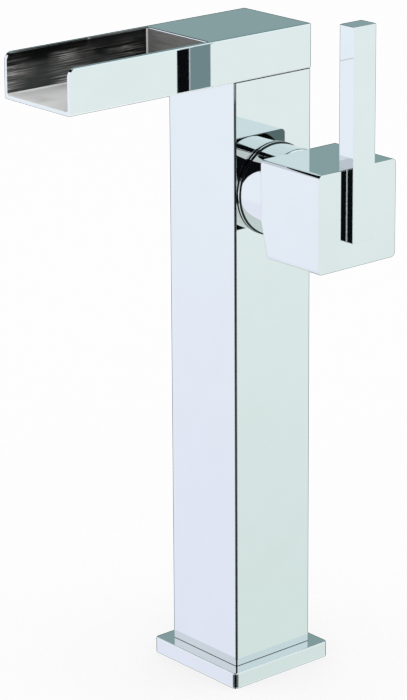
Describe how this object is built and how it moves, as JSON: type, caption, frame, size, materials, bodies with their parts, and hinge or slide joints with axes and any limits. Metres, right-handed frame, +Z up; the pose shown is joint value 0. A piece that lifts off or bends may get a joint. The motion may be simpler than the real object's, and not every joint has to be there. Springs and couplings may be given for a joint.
{
  "type": "basin mixer tap",
  "caption": "Tall square-column basin mixer with an open waterfall trough spout and a side cube handle with an upright bar lever; tilts for flow, turns for temperature.",
  "frame": {"origin": "middle of the square foot's underside, on the deck", "axes": "+Z up along the column, the spout points to -Y, the handle is on the +X side"},
  "size_m": [0.11, 0.1426, 0.3155],
  "materials": {
    "chrome": "mirror-polished chrome plate",
    "brass": "as machined",
    "steel": "plain stainless",
    "rubber": "matt moulded",
    "plastic": "moulded, off-white",
    "ceramic": "lapped, opaque"
  },
  "bodies": {
    "body": {"base_plate": "chrome", "base_gasket": "rubber", "column_shell": "chrome", "foot_plug": "brass", "hot_tube": "brass", "cold_tube": "brass", "tube_seals": "rubber", "valve_body": "brass", "outlet_tube": "brass", "outlet_seals": "rubber", "column_cap": "brass", "spout_body": "chrome", "spout_cover": "chrome", "spout_screws": "steel", "neck_ring": "chrome", "neck_cover": "chrome", "cartridge_base": "plastic", "port_seals": "rubber", "fixed_disc": "ceramic", "cartridge_housing": "plastic", "lock_nut": "brass"},
    "carrier": {"rotating_carrier": "plastic", "pivot_pin": "steel"},
    "handle": {"spindle": "steel", "handle_block": "chrome", "lever_bar": "chrome", "lever_screws": "steel", "grub_screw": "steel"},
    "disc": {"moving_disc": "ceramic", "disc_coupling": "plastic"}
  },
  "joints": [
    {"name": "temperature_turn", "type": "hinge", "parent": "body", "child": "carrier", "pos_m": [0.034, 0, 0.2321], "axis": [1, 0, 0], "range_deg": [-45, 45]},
    {"name": "flow_lift", "type": "hinge", "parent": "carrier", "child": "handle", "pos_m": [0.034, 0, 0.2321], "axis": [0, 1, 0], "range_deg": [0, 18]},
    {"name": "disc_slide", "type": "slide", "parent": "carrier", "child": "disc", "axis": [0, 0, 1], "range_m": [0, 0.0036]}
  ],
  "couplings": [
    {"joint": "disc_slide", "follows": "flow_lift", "m_per_rad": 0.01125}
  ]
}
